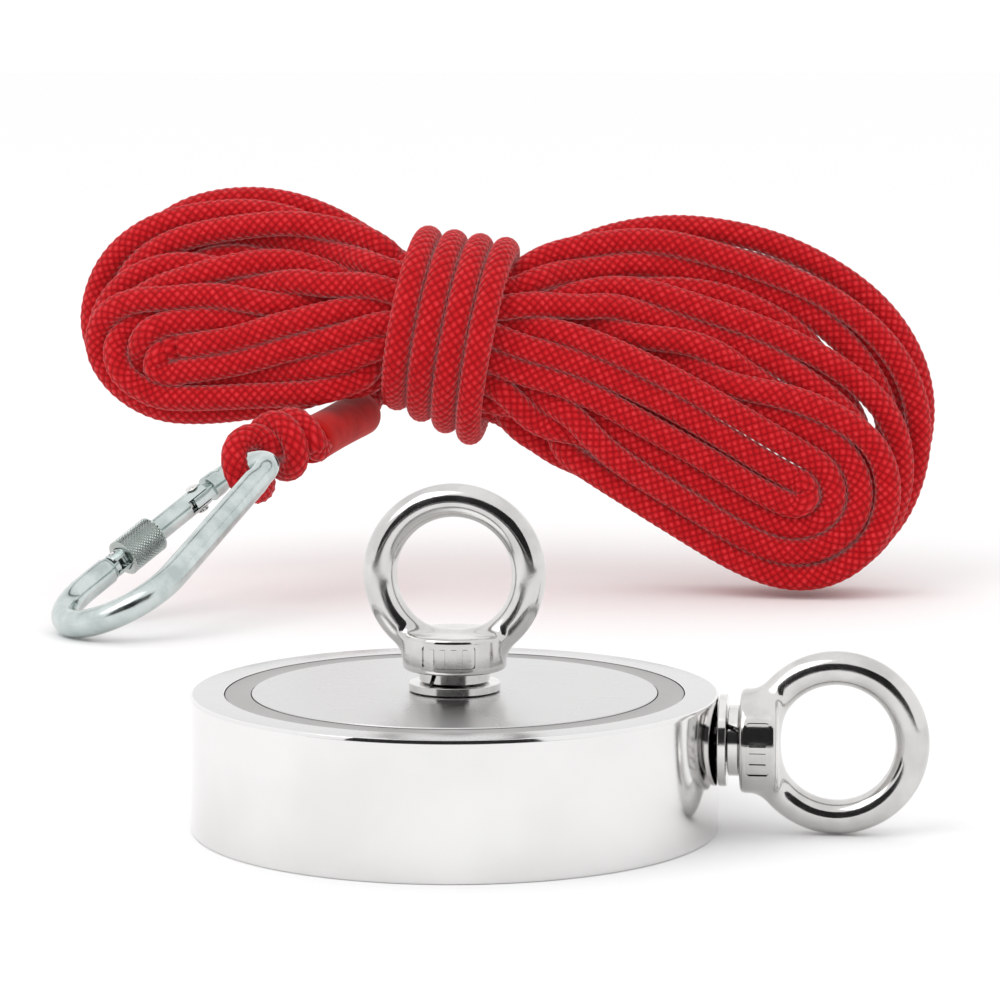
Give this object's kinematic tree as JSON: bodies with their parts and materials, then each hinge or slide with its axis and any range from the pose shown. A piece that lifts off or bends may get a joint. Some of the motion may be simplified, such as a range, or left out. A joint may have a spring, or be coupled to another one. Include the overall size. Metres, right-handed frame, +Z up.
{
  "type": "magnet fishing magnet",
  "caption": "Round double-sided fishing magnet in a steel pot, with screw-in eye bolts on top and side, and a braided rope hank knotted to a screw-lock carabiner.",
  "frame": {"origin": "centre of the magnet's lower face, which rests on the floor", "axes": "+Z up through the top eye bolt, +X out along the side eye bolt, +Y back towards the rope hank"},
  "size_m": [0.3515, 0.5635, 0.1566],
  "materials": {
    "polished_nickel": "polished nickel plate on steel",
    "satin_nickel": "satin nickel plate",
    "sintered_magnet": "sintered magnet, plated, dull",
    "grey_resin": "cast resin seal, satin",
    "stainless_steel": "polished stainless steel",
    "zinc_plate": "bright zinc plate",
    "braided_rope": "braided polyester, red",
    "shrink_plastic": "glossy red heat-shrink tube"
  },
  "bodies": {
    "magnet": {"pot_housing": "polished_nickel", "upper_ring_magnet": "sintered_magnet", "upper_pole_plate": "satin_nickel", "upper_resin_ring": "grey_resin", "lower_ring_magnet": "sintered_magnet", "lower_pole_plate": "satin_nickel", "lower_resin_ring": "grey_resin"},
    "top_washers": {"top_flat_washer": "stainless_steel", "top_spring_washer": "stainless_steel"},
    "top_eye": {"top_eye_bolt": "stainless_steel"},
    "side_washers": {"side_flat_washer": "stainless_steel", "side_spring_washer": "stainless_steel"},
    "side_eye": {"side_eye_bolt": "stainless_steel"},
    "rope": {"hank_bundle": "braided_rope", "hank_wraps": "braided_rope", "rope_lead": "braided_rope", "rope_knot": "braided_rope", "shrink_tube": "shrink_plastic"},
    "carabiner": {"carabiner_body": "zinc_plate", "hinge_rivet": "stainless_steel"},
    "gate": {"gate_tube": "zinc_plate", "gate_spring": "stainless_steel", "latch_pin": "stainless_steel"},
    "sleeve": {"locking_sleeve": "zinc_plate"},
    "plunger": {"spring_plunger": "stainless_steel"}
  },
  "joints": [
    {"name": "top_bolt_lift", "type": "slide", "parent": "magnet", "child": "top_washers", "axis": [0, 0, 1], "range_m": [0, 0.007]},
    {"name": "top_eye_turn", "type": "hinge", "parent": "top_washers", "child": "top_eye", "pos_m": [0, 0, 0.05], "axis": [0, 0, 1], "range_deg": [0, 1440.1]},
    {"name": "side_bolt_draw", "type": "slide", "parent": "magnet", "child": "side_washers", "axis": [1, 0, 0], "range_m": [0, 0.007]},
    {"name": "side_eye_turn", "type": "hinge", "parent": "side_washers", "child": "side_eye", "pos_m": [0.09, 0, 0.0263], "axis": [1, 0, 0], "range_deg": [0, 1440.1]},
    {"name": "rope_lift", "type": "slide", "parent": "magnet", "child": "rope", "axis": [0, 0, 1], "range_m": [0, 0.25]},
    {"name": "carabiner_swing", "type": "hinge", "parent": "rope", "child": "carabiner", "pos_m": [-0.12882, 0.39116, 0.0565], "axis": [-0.8147, 0.5457, -0.1959], "range_deg": [0, 30]},
    {"name": "gate_open", "type": "hinge", "parent": "carabiner", "child": "gate", "pos_m": [-0.15012, 0.3806, 0.04358], "axis": [-0.3951, -0.2753, 0.8764], "range_deg": [0, 25], "stiffness_Nm_per_rad": 0.2, "springref_deg": -22.92},
    {"name": "sleeve_slide", "type": "slide", "parent": "gate", "child": "sleeve", "axis": [-0.5492, -0.694, -0.4656], "range_m": [0, 0.008]},
    {"name": "plunger_slide", "type": "slide", "parent": "gate", "child": "plunger", "axis": [-0.5492, -0.694, -0.4656], "range_m": [0, 0.0014]}
  ],
  "couplings": [
    {"joint": "top_eye_turn", "follows": "top_bolt_lift", "rad_per_m": 3590.4},
    {"joint": "side_eye_turn", "follows": "side_bolt_draw", "rad_per_m": 3590.4},
    {"joint": "plunger_slide", "follows": "gate_open", "m_per_rad": 0.003016}
  ]
}
